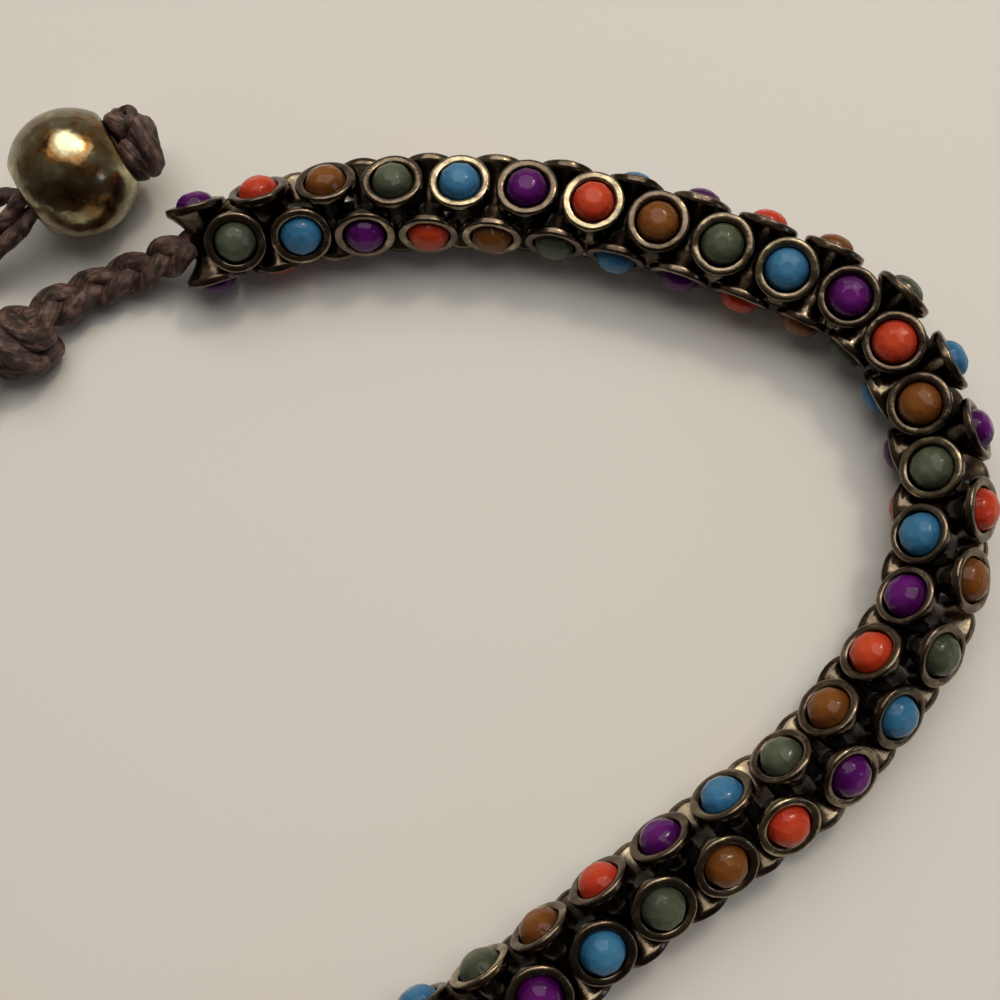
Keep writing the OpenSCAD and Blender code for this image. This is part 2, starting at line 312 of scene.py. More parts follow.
# x, y and z of the strands' middle, and how far they fan out
strandRoute = [
    (-38.2, 10.65, 2.25, 0), (-38.2, 11.3, 2.25, 0), (-38.3, 12.7, 1.8, 0.3), (-38.4, 14.4, 1.1, 0.7),
    (-38.2, 16.2, 0.62, 1), (-37.5, 18.2, 0.62, 1), (-36.4, 20.1, 0.62, 1), (-35.0, 21.8, 0.62, 1),
    (-33.3, 23.3, 0.9, 1), (-31.4, 24.6, 1.5, 1), (-29.4, 25.65, 2.4, 0.9), (-27.4, 26.8, 3.4, 0.9),
    (-25.6, 27.9, 4.1, 0.6), (-24.25, 28.7, 4.4, 0), (-21.2, 30.55, 4.4, 0), (-18.2, 32.4, 4.4, 0),
]
bunching = {"side": 0.66, "rise": 0.78, "fan": {1: 1.1, 0: -0.35, -1: 0.85}}  # mm, by the strand's side


def strandLine(side):
    # the middle line moved sideways by the bunch plus the fan times the sine of its fanning, and up where bunched
    t = np.array(strandRoute, float)
    way = np.vstack([t[1, :3] - t[0, :3], t[2:, :3] - t[:-2, :3], t[-1, :3] - t[-2, :3]])
    left = unit(np.column_stack([-way[:, 1], way[:, 0], np.zeros(len(t))]))
    out = abs(side) * bunching["side"] + bunching["fan"][side] * np.sin(np.pi / 2 * t[:, 3])
    rise = (1 - t[:, 3]) * bunching["rise"]
    lift = np.zeros((len(t), 3))
    lift[:, 2] = rise if side == 0 else -rise / 2
    return t[:, :3] + (side or 1) * out[:, None] * left + lift


def makeFreeCord(name, rows, node, twist):
    line = evenly(smoothRows(rows, 10), 0.08)
    part = tube(line, cordSizes["strand"] / 2, sides=22, plies=2, groove=0.14, twist=twist, rough=0.045, lump=0.03)
    piece = makePiece(name, part, cordFinish, [node])


makeFreeCord("waxed_loop", loopRoute, "loop_cord", twist=1.1)
for side, letter, twist in ((1, "a", 0.8), (0, "b", -0.7), (-1, "c", 0.9)):
    makeFreeCord("waxed_strand_" + letter, strandLine(side), "button_strand_" + letter, twist)
print("free cords laid")

# The rope's line, the same as in the CAD: x and y of its centre, and the outward lean of its even spools

ropeRoute = [
    (-12.0, 25.7, 61), (-5.0, 27.4, 35), (1.5, 28.0, 13), (7.8, 27.8, 8), (14.5, 26.8, -2),
    (24.8, 23.4, -16), (33.0, 18.8, -17), (36.5, 10.4, -29), (36.1, 4.4, -40), (34.4, -1.2, -44),
    (28.0, -9.4, -47), (22.1, -13.8, -56), (16.3, -17.9, -64), (9.8, -22.7, -70), (1.7, -27.4, -88),
    (-6.5, -30.9, -94), (-15.5, -32.0, -98), (-24.5, -29.3, -105), (-31.5, -23.3, -110), (-35.6, -15.0, -115),
    (-36.5, -6.0, -120), (-36.5, 0.0, -120),
]
rope = {"pitch": 2.24, "spools": 75}
spool = {
    "cup": 4.14, "length": 5.5, "waist": 1.8, "waistLength": 1.0, "bore": 1.2,
    "lip": 0.54, "crest": 0.21, "wall": 0.25,  # the lip's thickness, its round top and its straight side
    "squareness": 0.85,  # the power of the crest's curve, 1 for round and less for squarer
    "depth": 0.6, "seatGap": 0.03,  # the seat's depth, and its gap round a stone
    "lipGap": 0.04,  # between two cups that would touch
    "unevenness": 0.05,
    "roundSteps": 40, "boreSteps": 24,  # a number of points and not mm, as the others are
}
# span is over both stones of a spool, drop is from the cup's edge to the girdle, and lift is above the seat
stone = {"girdle": 2.82, "drop": 0.25, "span": 7.0, "table": 1.0, "lift": 0.05}
ropeLine = smoothRows(ropeRoute, 12)
ropeAlong = along(ropeLine[:, :2])


def ropeAt(s):
    return np.column_stack([np.interp(s, ropeAlong, ropeLine[:, k]) for k in range(3)])


def tiltedReach(a):
    # how far below its middle a spool tilted by an angle reaches: to a stone's table or to a lip
    lip = spool["lip"]
    lipReach = (spool["length"] - lip) / 2 * np.cos(a) + (spool["cup"] - lip) / 2 * np.sin(a) + lip / 2
    return np.maximum(stone["span"] / 2 * np.cos(a) + stone["table"] / 2 * np.sin(a), lipReach)


def restHeight(lean):
    # the height at which a leaning spool and the crossed one beside it both clear the table
    a = np.arcsin(np.abs(np.sin(np.radians(lean))))
    return np.maximum(tiltedReach(a), tiltedReach(np.pi / 2 - a))


def spoolFrames(numbers):
    # each spool's middle and its three axes: along the cord, across, and along its own barrel
    s = np.asarray(numbers) * rope["pitch"]
    here, ahead, behind = ropeAt(s), ropeAt(s + rope["pitch"] / 4), ropeAt(s - rope["pitch"] / 4)
    middle = np.column_stack([here[:, :2], restHeight(here[:, 2])])
    forward = unit(np.column_stack([(ahead - behind)[:, :2], np.zeros(len(s))]))
    left = np.column_stack([-forward[:, 1], forward[:, 0], np.zeros(len(s))])
    turn = np.radians(np.where(np.asarray(numbers) % 2 == 0, -here[:, 2], 90 - here[:, 2]))[:, None]
    across = np.cos(turn) * left + np.sin(turn) * up
    barrel = -np.sin(turn) * left + np.cos(turn) * up
    return middle, np.stack([forward, across, barrel], 1)


def cupWidths():
    # every spool's two cup widths: the full one, or what the cups beside it in its row leave it
    middle, axes = spoolFrames(np.arange(rope["spools"]))
    lips = middle[:, None] + np.array([1, -1])[None, :, None] * spool["length"] / 2 * axes[:, 2][:, None]
    room = np.linalg.norm(lips[2:] - lips[:-2], axis=2) - spool["lipGap"]
    widths = np.full((len(lips), 2), spool["cup"])
    widths[2:] = np.minimum(widths[2:], room)
    widths[:-2] = np.minimum(widths[:-2], room)
    return widths


def onRope(shapes, numbers):
    # one shape at each spool's place: the place's middle plus the shape's coordinates along the spool's axes
    middles, axes = spoolFrames(numbers)
    return np.einsum("nvi,nij->nvj", shapes, axes) + middles[:, None]


# Spools: one barrel with a cup at each end, turned from a profile, with the cord's hole across the waist


def spoolProfile():
    # The upper half: over the seat, up the wall, round the lip, down the outer wall and in to the waist, where
    # the radius falls with the power 1.5 of the height. The columns are the radius, the height, how worn a place
    # is (down the flare its fall towards the waist is patina and also painted shade between the spools), and
    # how much of the lip's unevenness it takes.
    outer, top, half, crest = spool["cup"] / 2, spool["length"] / 2, spool["lip"] / 2, spool["crest"]
    waistR, waistZ = spool["waist"] / 2, spool["waistLength"] / 2
    seatR, seatZ = stone["girdle"] / 2 + spool["seatGap"], top - spool["depth"]
    seat = [(0.7, seatZ, 0, 0), (seatR - 0.05, seatZ, 0, 0.1), (seatR, seatZ + 0.06, 0.2, 0.2),
            (seatR, top - 0.36, 0.5, 0.5)]
    a = np.radians(np.linspace(174, 0, 17))
    sine, cosine = np.sin(a), np.cos(a)
    reach = np.where(cosine < 0, outer - half - seatR - 0.01, half)
    lip = np.column_stack([outer - half + reach * np.sign(cosine) * np.abs(cosine) ** spool["squareness"],
                           top - crest + crest * sine ** spool["squareness"],
                           0.62 + 0.3 * np.clip(sine, 0, 1) ** 1.5, np.ones_like(a)])
    wall = [(outer, top - half - spool["wall"] / 2, 0.75, 1), (outer - 0.01, top - half - spool["wall"], 0.7, 1)]
    u = np.linspace(0.93, 0, 9)
    endR, endZ = wall[-1][:2]
    # down the flare the wear falls towards the waist: patina, and painted shade in the gaps between the spools
    flare = np.column_stack([waistR + (endR - waistR) * u**1.5, waistZ + (endZ - waistZ) * u, 0.08 + 0.9 * u, u**2])
    return np.vstack([seat, lip, wall, flare])


def turnedSpool():
    # the profile turned about the barrel's axis, its mirror below, and a pole in the middle of each seat
    half = spoolProfile()
    profile = np.vstack([half, half[::-1] * [1, -1, 1, 1]])
    steps, rows = spool["roundSteps"], len(profile)
    theta = roundAngles(steps)
    r, z = profile[:, :1], np.repeat(profile[:, 1:2], steps, 1)
    points = np.stack([r * np.cos(theta), r * np.sin(theta), z], -1).reshape(-1, 3)
    points = np.vstack([points, [[0, 0, profile[0, 1]], [0, 0, profile[-1, 1]]]])
    mesh = bpy.data.meshes.new("spool blank")
    mesh.from_pydata(points.tolist(), [], ringQuads(rows, steps).tolist() + poleTris(rows, steps).tolist())
    return mesh, profile


def boreRod():
    # a rod through the waist along the cord, in the middle of the blank
    steps, radius = spool["boreSteps"], spool["bore"] / 2
    theta = roundAngles(steps)
    ring = np.column_stack([np.zeros(steps), radius * np.cos(theta), radius * np.sin(theta)])
    points = np.vstack([ring + [-spool["waist"], 0, 0], ring + [spool["waist"], 0, 0]])
    k = np.arange(steps)
    quads = np.column_stack([k, (k + 1) % steps, steps + (k + 1) % steps, steps + k])
    mesh = bpy.data.meshes.new("bore rod")
    mesh.from_pydata(points.tolist(), [], quads[:, ::-1].tolist() + [k.tolist(), (k[::-1] + steps).tolist()])
    return mesh


def drilledSpool():
    # the blank less the rod: its points and triangles, and how worn and how uneven each point is
    blank, profile = turnedSpool()
    body, rod = addObject("spool blank", blank), addObject("bore rod", boreRod())
    cut = body.modifiers.new("bore", "BOOLEAN")
    cut.operation, cut.object, cut.solver = "DIFFERENCE", rod, "EXACT"
    bpy.context.view_layer.update()
    done = bpy.data.meshes.new_from_object(body.evaluated_get(bpy.context.evaluated_depsgraph_get()))
    done.calc_loop_triangles()
    points = np.empty(len(done.vertices) * 3, np.float32)
    done.vertices.foreach_get("co", points)
    tris = np.empty(len(done.loop_triangles) * 3, np.int32)
    done.loop_triangles.foreach_get("vertices", tris)
    for o in (body, rod):
        bpy.data.objects.remove(o)
    points = points.reshape(-1, 3).astype(float)
    # a point takes both from the nearest row of the profile
    r, z = np.hypot(points[:, 0], points[:, 1]), np.abs(points[:, 2])
    half = profile[: len(profile) // 2]
    nearest = ((r[:, None] - half[None, :, 0]) ** 2 + (z[:, None] - half[None, :, 1]) ** 2).argmin(1)
    return points, tris.reshape(-1, 3), half[nearest, 2], half[nearest, 3]


def unevenSpools(points, share, widths):
    # Each copy's radius and height wander by a few hundredths: long waves round the lip, and finer dents, which
    # add up to about 2.2. A cup with less than its full width loses it outside the seat.
    count = len(widths)
    theta = np.arctan2(points[:, 1], points[:, 0])
    above = points[:, 2] > 0
    waves = np.zeros((count, len(points)))
    lifts = np.zeros((count, len(points)))
    for order, size in ((1, 0.5), (2, 1.0), (3, 0.8), (5, 0.45), (8, 0.4), (13, 0.3)):
        for end in (True, False):
            phase = chance.uniform(0, 2 * np.pi, (count, 2, 1))
            amount = size * chance.uniform(0.4, 1, (count, 2, 1))
            now = above if end else ~above
            waves += amount[:, 0] * np.sin(order * theta + phase[:, 0]) * now
            lifts += amount[:, 1] * np.sin(order * theta + phase[:, 1]) * now
    size = spool["unevenness"] / 2.2 * share
    r = np.hypot(points[:, 0], points[:, 1])
    lost = (spool["cup"] - np.where(above, widths[:, :1], widths[:, 1:])) / 2
    intoLip = np.clip((r - stone["girdle"] / 2 - 0.1) / (spool["lip"] - 0.05), 0, 1)
    narrow = 1 - lost * intoLip / np.maximum(r, 0.1)
    out = np.repeat(points[None], count, 0)
    out[..., :2] *= (narrow * (1 - size * waves / spool["cup"]))[..., None]
    out[..., 2] += size * lifts * np.sign(points[:, 2])
    return out


castBrass = {
    "oxide": "#110e0b", "bronze": "#433930", "brass": "#756858", "worn": "#d0c19a",
    "grain": 0.55,  # mm across a worn patch
    "pitting": 0.14,  # mm across a cast pit, coarser than a real one so that it shows
    "bump": 0.03,  # mm
    "roughness": 0.18,
}


def makeCastBrass():
    # Cast brass with an antique finish: black-brown in the hollows, which at the waists is also painted shade
    # between the spools, rubbed to pale brass along the lips, with some spools' rings painted brighter or darker as
    # light and shade
    v = castBrass
    material, shader = startMaterial("antiqued cast brass", Metallic=1.0)
    place = addNode(material, "TexCoord")
    worn = addNode(material, "Attribute", attribute_name="worn")
    own = addNode(material, "Attribute", attribute_name="own")
    patch = addNode(material, "TexNoise", {"Vector": place.outputs["Object"], "Scale": noiseScale(v["grain"]),
                    "Detail": 4.0, "Roughness": 0.65})
    fine = addNode(material, "TexNoise", {"Vector": place.outputs["Object"], "Scale": noiseScale(v["pitting"]),
                   "Detail": 2.0})
    level = addNode(material, "Math", {0: worn.outputs["Fac"], 1: 0.48, 2: -0.14}, operation="MULTIPLY_ADD")
    for share, amount in ((patch, 0.8), (own, 0.13)):
        level = addNode(material, "Math", {0: share.outputs["Fac"], 1: amount, 2: level.outputs[0]},
                        operation="MULTIPLY_ADD")
    shade = addNode(material, "ValToRGB", {"Fac": level.outputs[0]},
                    stops=[(0.22, linear(v["oxide"])), (0.45, linear(v["bronze"])),
                           (0.72, linear(v["brass"])), (1.0, linear(v["worn"]))])
    plug(material, shade.outputs[0], shader, "Base Color")
    gloss = addNode(material, "MapRange", {"Value": level.outputs[0], "From Min": 0.25, "From Max": 0.95,
                    "To Min": v["roughness"] + 0.05, "To Max": v["roughness"]})
    plug(material, gloss.outputs[0], shader, "Roughness")
    rough = addNode(material, "Math", {0: fine.outputs["Fac"], 1: 0.35, 2: patch.outputs["Fac"]},
                    operation="MULTIPLY_ADD")
    bump = addNode(material, "Bump", {"Height": rough.outputs[0], "Distance": v["bump"] * mm, "Strength": 1.0})
    plug(material, bump.outputs[0], shader, "Normal")
    return material


brassFinish = makeCastBrass()
rubbingAndPaintedLight = chance.uniform(-0.9, 0.5, rope["spools"])  # how brightly each spool is rubbed
# Painted highlight and painted shade: these spools' rings are set brighter and darker than the rest to look lit or
# shaded
rubbingAndPaintedLight[[8, 12, 37, 46]] = 0.9  # the brightest ones
rubbingAndPaintedLight[[6, 20, 22, 24]] = -0.7  # dull ones
barePoints, spoolTris, wornShare, unevenShare = drilledSpool()
stretches = [  # first and last spool of each visible piece, and the joined CAD nodes that it takes in
    (0, 14, []), (15, 29, []), (30, 39, []), (40, 57, ["spools_40_to_48", "spools_49_to_57"]),
    (58, 74, ["spools_58_to_66", "spools_67_to_74"]),
]
for first, last, nodes in stretches:
    numbers = np.arange(first, last + 1)
    shapes = unevenSpools(barePoints, unevenShare, cupWidths()[numbers])
    placed = onRope(shapes, numbers)
    count, each = placed.shape[:2]
    part = {
        "points": placed.reshape(-1, 3), "quads": np.empty((0, 4), int), "tris": copiedFaces(spoolTris, count, each),
        "worn": np.tile(wornShare, count), "own": np.repeat(rubbingAndPaintedLight[numbers], each),
    }
    makePiece("cup_spools_%02d_to_%02d" % (first, last), part, brassFinish,
              nodes or ["spool_%02d" % i for i in numbers], sharp=48)
print("spools turned and strung")

# Stones: an eight-sided table, eight sloping facets under it and eight steep ones down to a round girdle

stoneCut = {
    "sides": 8, "midRadius": 1.1, "midHeight": 3.12, "bevel": 0.13,
    "smallest": 0.975,  # the least share of its width and height that a stone has
    "scaledAbove": 2.0,  # the height that a lower stone is lowered towards
}


def cutStone():
    # Rings of 32 points, four to a side: two near its corners and two along it. A ring's radius is its side's
    # apothem over the cosine of the angle from the side's middle, blended towards a circle near the girdle.
    offsets = np.array([-0.43, -0.15, 0.15, 0.43]) * 2 * np.pi / stoneCut["sides"]
    theta = (np.arange(stoneCut["sides"])[:, None] * 2 * np.pi / stoneCut["sides"] + offsets).ravel()
    octagon = np.tile(1 / np.cos(offsets), stoneCut["sides"])
    girdleZ, tableZ = spool["length"] / 2 - stone["drop"], stone["span"] / 2
    seatZ = spool["length"] / 2 - spool["depth"] + stone["lift"]
    b, table, girdle = stoneCut["bevel"], stone["table"] / 2, stone["girdle"] / 2
    mid, midZ = stoneCut["midRadius"], stoneCut["midHeight"]
    rows = [  # apothem, height, how round the ring is
        (table - b, tableZ, 0), (table + b, tableZ - b * 0.55, 0.1), (mid - b, midZ + b * 0.9, 0.3),
        (mid + b * 0.7, midZ - b, 0.5), (girdle - 0.03, girdleZ + 0.08, 1), (girdle, girdleZ - 0.06, 1),
        (girdle, seatZ + 0.05, 1), (girdle - 0.06, seatZ, 1),
    ]
    n = len(theta)
    rings = []
    for apothem, z, roundness in rows:
        r = apothem * (octagon * (1 - roundness) + roundness)
        rings.append(np.column_stack([r * np.cos(theta), r * np.sin(theta), np.full(n, z)]))
    points = np.vstack(rings + [[[0, 0, tableZ], [0, 0, seatZ]]])
    # the table, and the facets between bevels, are flat; the bevels and the girdle are smooth
    row, corner = np.repeat(np.arange(len(rows) - 1), n), np.tile(np.arange(n) % 4 == 3, len(rows) - 1)
    flat = np.concatenate([((row == 1) | (row == 3)) & ~corner, np.arange(2 * n) < n])
    # rim is 0 in the middle and 1 at the girdle; the finish uses it for painted shade towards the girdle and painted
    # light in the middle
    rim = np.clip(np.hypot(points[:, 0], points[:, 1]) / girdle, 0, 1) ** 2
    return points, ringQuads(len(rows), n), poleTris(len(rows), n), flat, rim


# each stone's own colour, a darker tone painted at its rim as shade, and a paler one painted in its middle as light
stoneColors = {
    "violet": {"body": "#41064e", "edge": "#1d0324", "paintedLight": "#681d76"},
    "olive": {"body": "#3f4537", "edge": "#23271e", "paintedLight": "#5a614f"},
    "coral": {"body": "#ac351e", "edge": "#741a0d", "paintedLight": "#c64d30"},
    "blue": {"body": "#2f648c", "edge": "#183d58", "paintedLight": "#467ea4"},
    "caramel": {"body": "#673c18", "edge": "#371b09", "paintedLight": "#7f4f24"},
}
stoneGloss = {
    "cloud": 1.1, "ripple": 0.45,  # mm across a cloud, and across a ripple of the surface
    "bump": 0.02,  # mm
    "roughness": 0.11, "specular": 0.2,
}


def makeStoneFinish(name, colors):
    # Moulded resin with moulded facets: an opaque, glossy and faintly clouded body, with painted shade that darkens
    # it towards its rim and painted light that makes its middle paler
    v = stoneGloss
    material, shader = startMaterial(name + " moulded resin", Metallic=0.0, IOR=1.5)
    place = addNode(material, "TexCoord")
    rim = addNode(material, "Attribute", attribute_name="rim")
    cloud = addNode(material, "TexNoise", {"Vector": place.outputs["Object"], "Scale": 0.6 / (v["cloud"] * mm),
                    "Detail": 3.0})
    level = addNode(material, "Math", {0: rim.outputs["Fac"], 1: -0.55, 2: 0.55}, operation="MULTIPLY_ADD")
    level = addNode(material, "Math", {0: cloud.outputs["Fac"], 1: 0.6, 2: level.outputs[0]},
                    operation="MULTIPLY_ADD")
    shade = addNode(material, "ValToRGB", {"Fac": level.outputs[0]},
                    stops=[(0.15, linear(colors["edge"])), (0.5, linear(colors["body"])),
                           (0.95, linear(colors["paintedLight"]))])
    plug(material, shade.outputs[0], shader, "Base Color")
    shader.inputs["Roughness"].default_value = v["roughness"]
    shader.inputs["Specular IOR Level"].default_value = v["specular"]
    ripple = addNode(material, "TexNoise", {"Vector": place.outputs["Object"], "Scale": noiseScale(v["ripple"]),
                     "Detail": 2.0})
    bump = addNode(material, "Bump", {"Height": ripple.outputs["Fac"], "Distance": v["bump"] * mm, "Strength": 1.0})
    plug(material, bump.outputs[0], shader, "Normal")
    return material


stonePoints, stoneQuads, stoneTris, stoneFlat, stoneRim = cutStone()
for start, (name, colors) in enumerate(stoneColors.items()):
    numbers = np.repeat(np.arange(start, rope["spools"], len(stoneColors)), 2)
    flips = np.tile([1.0, -1.0], len(numbers) // 2)
    angle = chance.uniform(0, 2 * np.pi, len(numbers))
    scale = chance.uniform(stoneCut["smallest"], 1.0, (len(numbers), 2))  # each stone's width and height
    c, s = np.cos(angle)[:, None], np.sin(angle)[:, None]
    x, y, z = stonePoints.T
    low = stoneCut["scaledAbove"]
    shapes = np.stack([(c * x - s * y) * scale[:, :1], (s * x + c * y) * scale[:, :1] * flips[:, None],
                       np.where(z > low, low + (z - low) * scale[:, 1:], z) * flips[:, None]], -1)
    placed = onRope(shapes, numbers)
    count, each = placed.shape[:2]
    part = {
        "points": placed.reshape(-1, 3), "quads": copiedFaces(stoneQuads, count, each),
        "tris": copiedFaces(stoneTris, count, each), "rim": np.tile(stoneRim, count),
    }
    quadCount = len(stoneQuads)
    flatFaces = np.concatenate([np.tile(stoneFlat[:quadCount], count), np.tile(stoneFlat[quadCount:], count)])
    makePiece(name + "_stones", part, makeStoneFinish(name, colors), ["stones_" + name],
              flatFaces=flatFaces)
print("stones set")

# The thread inside the rope, from the loop's plait to the button's

spoolMiddles, spoolAxes = spoolFrames(np.arange(rope["spools"]))
threadStart = spoolMiddles[0] - (spool["waist"] / 2 + 0.05) * spoolAxes[0, 0]
threadLine = evenly(smoothRows(np.vstack([threadStart, spoolMiddles]), 8), 0.25)
thread = tube(threadLine, cordSizes["thread"] / 2, sides=16, plies=3, groove=0.1, twist=1.5)
makePiece("strung_thread", thread, threadPaintedShadeFinish, ["stringing_cord"])
print("thread drawn through")

# Plaited tails: x, y and z of the centre, and the share of the full width

loopPlaitRoute = [
    (-12.9, 25.5, 3.35, 0.8), (-13.6, 25.3, 3.25, 0.95), (-15.0, 24.9, 2.7, 1), (-16.6, 24.4, 1.95, 1),
    (-18.2, 24.0, 1.6, 1), (-19.8, 23.4, 1.55, 1), (-21.3, 22.6, 1.65, 1), (-22.4, 22.0, 2.0, 1),
    (-23.4, 21.3, 2.25, 0.95), (-24.4, 20.4, 2.25, 0.9),
]
buttonPlaitRoute = [
    (-36.5, -4.8, 3.35, 0.8), (-36.6, -4.0, 3.2, 0.95), (-36.7, -2.7, 2.6, 1), (-36.9, -1.2, 1.85, 1),
    (-37.2, 0.4, 1.55, 1), (-37.6, 2.0, 1.55, 1), (-38.0, 3.6, 1.75, 1), (-38.2, 4.6, 2.1, 1),
    (-38.2, 5.6, 2.25, 0.95), (-38.2, 6.8, 2.25, 0.9),
]
plait = {
    "strand": 1.5, "flat": 0.82,  # mm thick, and the share that is left of it across
    "swing": 0.8, "rise": 0.42, "period": 8.8,  # mm
}


def makePlait(name, rows, node, start):
    # Each strand swings from side to side as the sine of its place along the tail, and over and under twice as
    # often, a third of a turn after the one before it
    line = evenly(smoothRows(rows, 12), 0.07)
    centre, share = line[:, :3], line[:, 3]
    way = unit(np.gradient(centre, axis=0))
    left = unit(np.cross(up, way))
    over = np.cross(way, left)
    s = along(centre)
    strands = []
    for third in range(3):
        phase = 2 * np.pi * (s / plait["period"] + third / 3) + start
        strandAt = (centre + (share * plait["swing"] * np.sin(phase))[:, None] * left
                    + (share * plait["rise"] * np.sin(2 * phase))[:, None] * over)
        strands.append(tube(strandAt, plait["strand"] / 2 * (0.5 + 0.5 * share), sides=24, plies=2, groove=0.1,
                            twist=0.7, flat=plait["flat"], rough=0.05, lump=0.04))
    makePiece(name, joined(strands), cordFinish, [node])


makePlait("plaited_loop_tail", loopPlaitRoute, "loop_plait", start=0.6)
makePlait("plaited_button_tail", buttonPlaitRoute, "button_plait", start=1.4)
print("tails plaited")

# Knots: the turns of an overhand knot pulled tight. Each turn's rows are the distances along the tail, to its
# left and upwards, and the turn's radius there.

knotTurns = {
    "tail": [
        [(-1.9, -0.6, -0.5, 0.8), (-1.2, -1.4, -0.2, 0.9), (-0.2, -1.3, 0.8, 0.95), (0.6, -0.2, 1.3, 0.95),
         (0.5, 1.2, 0.9, 1.0), (-0.1, 1.9, 0.0, 0.95), (-0.6, 1.0, -1.2, 0.85)],
        [(-2.0, 0.6, 0.2, 0.75), (-1.7, 1.3, 0.6, 0.85), (-0.9, 1.1, 1.3, 0.9), (-0.5, -0.4, 1.3, 0.85),
         (0.0, -1.3, 0.4, 0.85), (0.9, -1.2, -0.6, 0.85), (1.4, 0.0, -1.1, 0.8)],
        [(0.2, 0.6, -1.3, 0.75), (1.2, 1.1, -0.5, 0.8), (1.7, 0.4, 0.5, 0.8), (1.5, -0.7, 0.7, 0.8),
         (1.2, -1.3, -0.3, 0.75)],
        [(-1.6, 1.2, -1.2, 0.7), (-1.5, 1.7, -0.6, 0.8), (-0.9, 1.9, -0.3, 0.8), (0.0, 1.8, -0.9, 0.8),
         (0.5, 1.0, -1.3, 0.7)],
        [(1.6, 1.3, -0.9, 0.6), (1.95, 0.9, -0.2, 0.68), (2.1, 0.2, 0.15, 0.72), (2.1, -0.6, 0.1, 0.72),
         (1.9, -1.3, -0.4, 0.65), (1.5, -1.5, -1.1, 0.6)],
    ],
    "end": [
        [(0.8, 0.9, -1.4, 0.8), (1.7, 1.1, -0.5, 0.95), (1.85, 0.4, 0.5, 1.1), (1.7, -0.7, 0.9, 1.2),
         (1.45, -1.55, 0.3, 1.2), (1.1, -1.7, -0.9, 1.0), (0.9, -0.5, -1.6, 0.8)],
        [(0.8, -0.9, -1.4, 0.7), (0.7, 0.6, -1.6, 0.75), (0.75, 1.75, -0.9, 0.85), (0.8, 1.85, 0.2, 0.9),
         (0.85, 0.9, 1.0, 0.85), (1.1, -0.2, 1.1, 0.75)],
        [(0.9, 1.5, 0.7, 0.34), (1.4, 1.7, 1.0, 0.37), (1.95, 1.45, 1.2, 0.38), (2.05, 0.8, 1.6, 0.38),
         (1.5, 0.2, 1.95, 0.38), (0.9, 0.1, 1.8, 0.34)],
        [(0.45, -0.4, 1.0, 0.6), (0.55, -1.5, 0.8, 0.75), (0.6, -2.1, -0.2, 0.8), (0.55, -1.4, -1.2, 0.7)],
    ],
}


def makeKnot(name, kind, node, at, heading):
    # the turns, each a bundle of three strands or one thin end, set at the knot's place and turned to its heading
    a = math.radians(heading)
    axes = np.array([[math.cos(a), math.sin(a), 0], [-math.sin(a), math.cos(a), 0], [0, 0, 1]])
    turns = []
    for rows in knotTurns[kind]:
        line = evenly(smoothRows(rows, 12), 0.07)
        thin = line[:, 3].max() < 0.5
        sides, plies, groove, twist = (16, 2, 0.12, 1.5) if thin else (34, 3, 0.26, 0.35)
        turns.append(tube(line[:, :3] @ axes + np.array(at), line[:, 3], sides, plies, groove, twist,
                          rough=0.05, lump=0.03))
    makePiece(name, joined(turns), cordFinish, [node])


makeKnot("tied_loop_knot", "tail", "loop_knot", at=(-25.2, 19.15, 2.25), heading=222)
makeKnot("tied_button_knot", "tail", "button_knot", at=(-38.2, 8.3, 2.25), heading=90)
ball = {
    "diameter": 8.8, "length": 7.1, "bore": 2.9, "edge": 0.18,  # mm, the edge being the bore's rounded one
    "at": (-21.2, 30.55, 4.4), "heading": 31.5, "roundSteps": 96,
}
ballWay = np.array([math.cos(math.radians(ball["heading"])), math.sin(math.radians(ball["heading"])), 0])
endKnotAt = np.array(ball["at"]) + ballWay * ball["length"] / 2 - [0, 0, 0.2]  # a little below the bore
makeKnot("tied_end_knot", "end", "end_knot", at=endKnotAt, heading=ball["heading"])
print("knots tied")

# The ball button


def ballProfile():
    # down the bore, over a small rounded edge, across the flat, over its edge and along the sphere's arc: the
    # distance from the ball's axis and the distance along it
    radius, half, bore, edge = ball["diameter"] / 2, ball["length"] / 2, ball["bore"] / 2, ball["edge"]
    flatR = math.sqrt(radius**2 - half**2)
    a = np.radians(np.linspace(180, 90, 5))
    inner = np.column_stack([bore + edge * (1 + np.cos(a)), half - edge * (1 - np.sin(a))])
    start = math.atan2(half, flatR)
    b = np.linspace(start - 0.05, -start + 0.05, 40)
    arc = np.column_stack([radius * np.cos(b), radius * np.sin(b)])
    rim = np.array([[flatR - 0.16, half], [flatR - 0.05, half - 0.02]])
    outerHalf = np.vstack([inner, rim, arc])
    lower = np.vstack([inner, rim])[::-1] * [1, -1]
    return np.vstack([outerHalf, lower])


def makeBall():
    # the profile, which closes on itself, turned about the ball's own axis
    profile = ballProfile()
    steps = ball["roundSteps"]
    theta = roundAngles(steps)
    r, z = profile[:, :1], np.repeat(profile[:, 1:], steps, 1)
    side = np.array([-ballWay[1], ballWay[0], 0])
    points = (r * np.cos(theta))[..., None] * side + (r * np.sin(theta))[..., None] * up + z[..., None] * ballWay
    points = points.reshape(-1, 3) + np.array(ball["at"])
    return {"points": points, "quads": ringQuads(len(profile), steps, closed=True), "tris": np.empty((0, 3), int)}


agedBrass = {
    "dark": "#332c20", "brown": "#775733", "gold": "#858066", "bright": "#e6deb0",
    # the middle of a pale spot painted where the window's reflection falls, as a painted highlight, and the
    # distances from it, in mm, over which it fades out and a browner ring round it comes in
    "cleanAt": (-20.2, 30.8, 8.7), "clean": (0.5, 1.2), "brownRing": (1.5, 3.6),
    "blotch": 1.3, "haze": 0.5, "dent": 1.5,  # mm across each
    "hazeDepth": 0.012, "dentDepth": 0.12,  # mm
    "roughness": 0.17,
}


